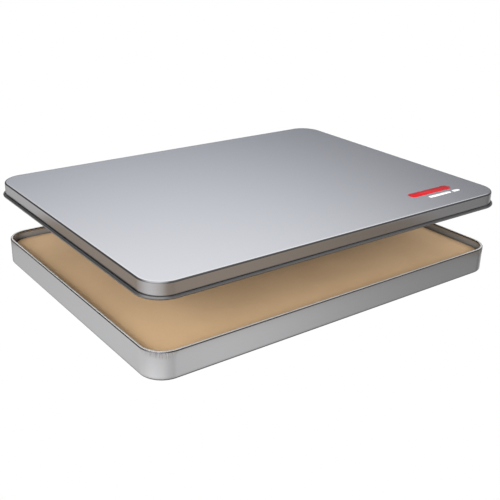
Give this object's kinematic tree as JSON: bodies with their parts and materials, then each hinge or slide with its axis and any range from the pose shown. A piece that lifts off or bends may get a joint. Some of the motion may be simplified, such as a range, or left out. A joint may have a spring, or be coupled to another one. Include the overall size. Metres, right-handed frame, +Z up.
{
  "type": "stamp pad tin",
  "caption": "Flat metal tin with a cloth-covered absorbent pad and a slip-over lid, used as a large stamp pad or as a wet palette.",
  "frame": {"origin": "middle of the tray's underside", "axes": "+X along the tin's length, +Y along its width, +Z up out of the tray; the lid stands raised straight above the tray at rest"},
  "size_m": [0.3452, 0.2572, 0.0724],
  "materials": {
    "tray_tinplate": "bare tinplate, satin",
    "lid_tinplate": "bare tinplate, fine satin grain",
    "pad_cloth": "matte, fine weave",
    "felt": "matte, fibrous",
    "fibreboard": "matte hardboard",
    "foam_tape": "matte"
  },
  "bodies": {
    "tray": {"tray_shell": "tray_tinplate", "pad_cloth": "pad_cloth", "felt_core": "felt", "backing_board": "fibreboard", "tape_strip_1": "foam_tape", "tape_strip_2": "foam_tape", "tape_strip_3": "foam_tape", "tape_strip_4": "foam_tape"},
    "lid": {"lid_shell": "lid_tinplate"}
  },
  "joints": [
    {"name": "lid_lift", "type": "slide", "parent": "tray", "child": "lid", "axis": [0, 0, 1], "range_m": [-0.0496, 0.06]}
  ]
}
